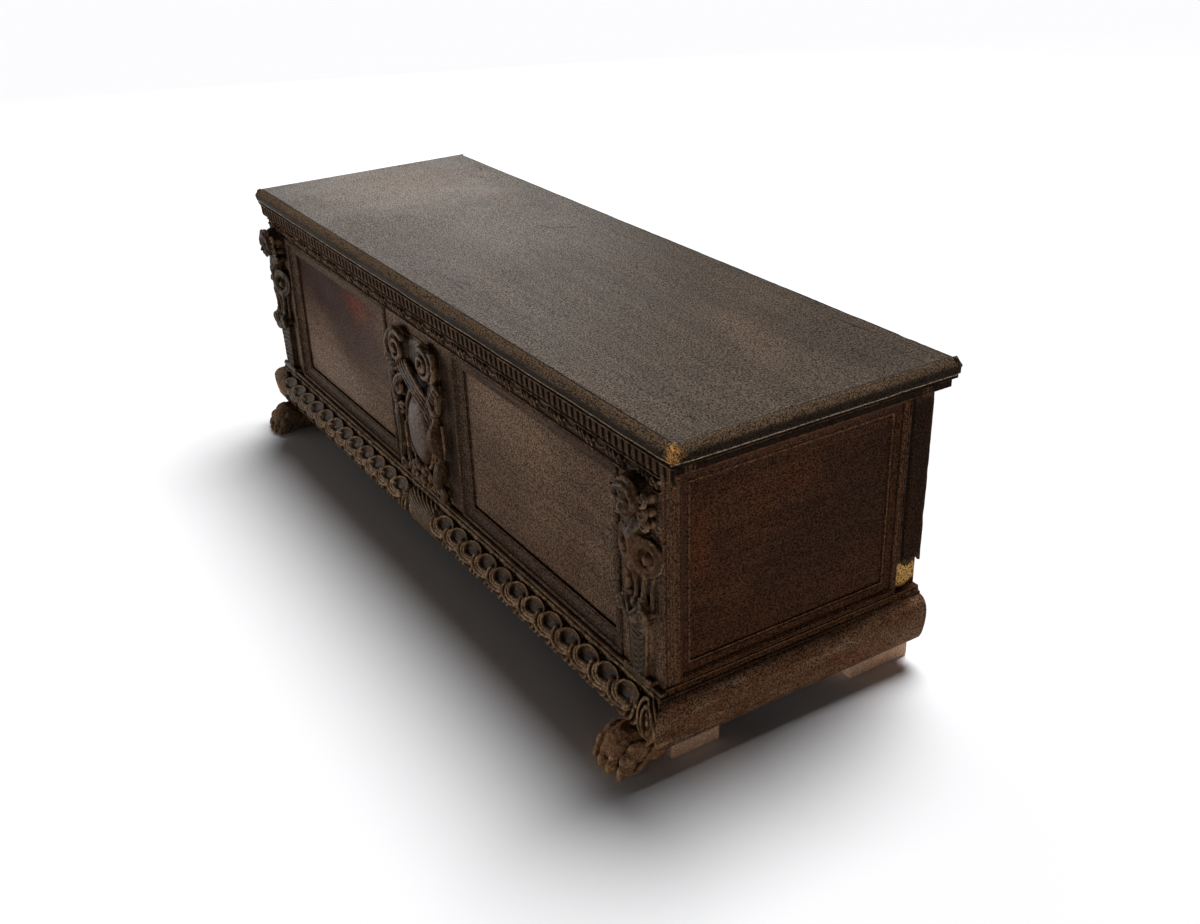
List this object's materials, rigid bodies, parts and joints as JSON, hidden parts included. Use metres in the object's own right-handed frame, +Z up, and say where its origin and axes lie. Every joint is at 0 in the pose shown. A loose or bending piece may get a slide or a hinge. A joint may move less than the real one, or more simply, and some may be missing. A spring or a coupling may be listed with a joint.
{
  "type": "cassone",
  "caption": "Long low carved chest with a hinged flat lid, corner pilasters, a centre cartouche and a gadrooned base on lion paws.",
  "frame": {"origin": "on the floor, under the middle of the overall box", "axes": "+X along the chest towards its right end, -Y out of the carved front, +Y out of the hinged back, +Z up"},
  "size_m": [1.7, 0.62, 0.575],
  "materials": {
    "walnut_lid": "worn satin wax, grey brown",
    "walnut_front": "old dark wax",
    "walnut_carving": "old dark wax, dark in the hollows",
    "walnut_worn_carving": "dark wax worn tan on the high places",
    "walnut_end": "old dark wax, reddish",
    "plain_boards": "unfinished, aged",
    "block_wood": "plain, rubbed",
    "wrought_iron": "forged, dark"
  },
  "bodies": {
    "carcase": {"back_board_lower": "plain_boards", "back_board_upper": "plain_boards", "base_cap_front": "walnut_end", "base_cap_left": "walnut_end", "base_cap_right": "walnut_end", "base_gadroon_front": "walnut_worn_carving", "base_round_left": "walnut_end", "base_round_right": "walnut_end", "bottom_batten_back": "plain_boards", "bottom_batten_front": "plain_boards", "bottom_board_back": "plain_boards", "bottom_board_front": "plain_boards", "bottom_board_middle": "plain_boards", "cartouche": "walnut_carving", "cornice_front": "walnut_carving", "cornice_left": "walnut_end", "cornice_right": "walnut_end", "end_board_left": "walnut_end", "end_board_right": "walnut_end", "end_moulding_left": "walnut_end", "end_moulding_right": "walnut_end", "end_strip_left": "walnut_end", "end_strip_right": "walnut_end", "foot_block_front_left": "block_wood", "foot_block_front_right": "block_wood", "foot_block_rear_left": "block_wood", "foot_block_rear_right": "block_wood", "frieze_carving": "walnut_carving", "front_panel_left": "walnut_front", "front_panel_right": "walnut_front", "front_rail_bottom": "walnut_front", "front_rail_top": "walnut_front", "front_stile_centre": "walnut_front", "front_stile_left": "walnut_front", "front_stile_right": "walnut_front", "hinge_back_strap_left": "wrought_iron", "hinge_back_strap_right": "wrought_iron", "hinge_nails_back": "wrought_iron", "hinge_pin_left": "wrought_iron", "hinge_pin_right": "wrought_iron", "lion_paw_left": "walnut_worn_carving", "lion_paw_right": "walnut_worn_carving", "panel_moulding_left": "walnut_front", "panel_moulding_right": "walnut_front", "pilaster_left": "walnut_carving", "pilaster_right": "walnut_carving"},
    "lid": {"lid_board": "walnut_lid", "lid_batten_right": "plain_boards", "lid_batten_left": "plain_boards", "hinge_lid_strap_right": "wrought_iron", "hinge_lid_strap_left": "wrought_iron", "hinge_nails_lid": "wrought_iron"}
  },
  "joints": [
    {"name": "lid_hinge", "type": "hinge", "parent": "carcase", "child": "lid", "pos_m": [0, 0.3028, 0.5345], "axis": [-1, 0, 0], "range_deg": [0, 100]}
  ]
}
